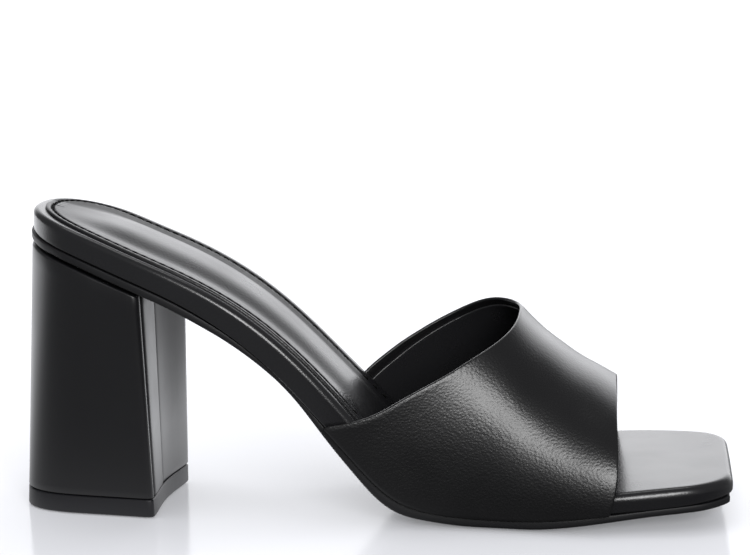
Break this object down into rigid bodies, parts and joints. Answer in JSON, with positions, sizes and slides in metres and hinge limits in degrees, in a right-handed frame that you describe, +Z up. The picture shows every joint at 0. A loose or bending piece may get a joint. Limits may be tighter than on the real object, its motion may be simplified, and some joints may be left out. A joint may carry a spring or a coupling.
{
  "type": "sandal",
  "caption": "Open-toe slide sandal for the right foot: one wide leather strap over a padded footbed, on a high flared block heel.",
  "frame": {"origin": "on the floor, at the middle of the shoe's footprint box", "axes": "+X from the heel to the toe along the heel's own axis, +Y towards the medial (big toe) side, +Z up"},
  "size_m": [0.2224, 0.0906, 0.0959],
  "materials": {
    "outsole_rubber": "matte black",
    "footbed_leather": "smooth semi-gloss black",
    "sock_leather": "soft satin black, stitched round its edge",
    "strap_leather": "semi-gloss black with a very fine grain",
    "heel_leather": "smooth semi-gloss black, wrapped round the block",
    "tip_rubber": "hard satin black"
  },
  "bodies": {
    "root": {"outsole": "outsole_rubber", "footbed": "footbed_leather", "sock_pad": "sock_leather", "upper": "strap_leather", "heel": "heel_leather", "top_piece": "tip_rubber"}
  },
  "joints": []
}
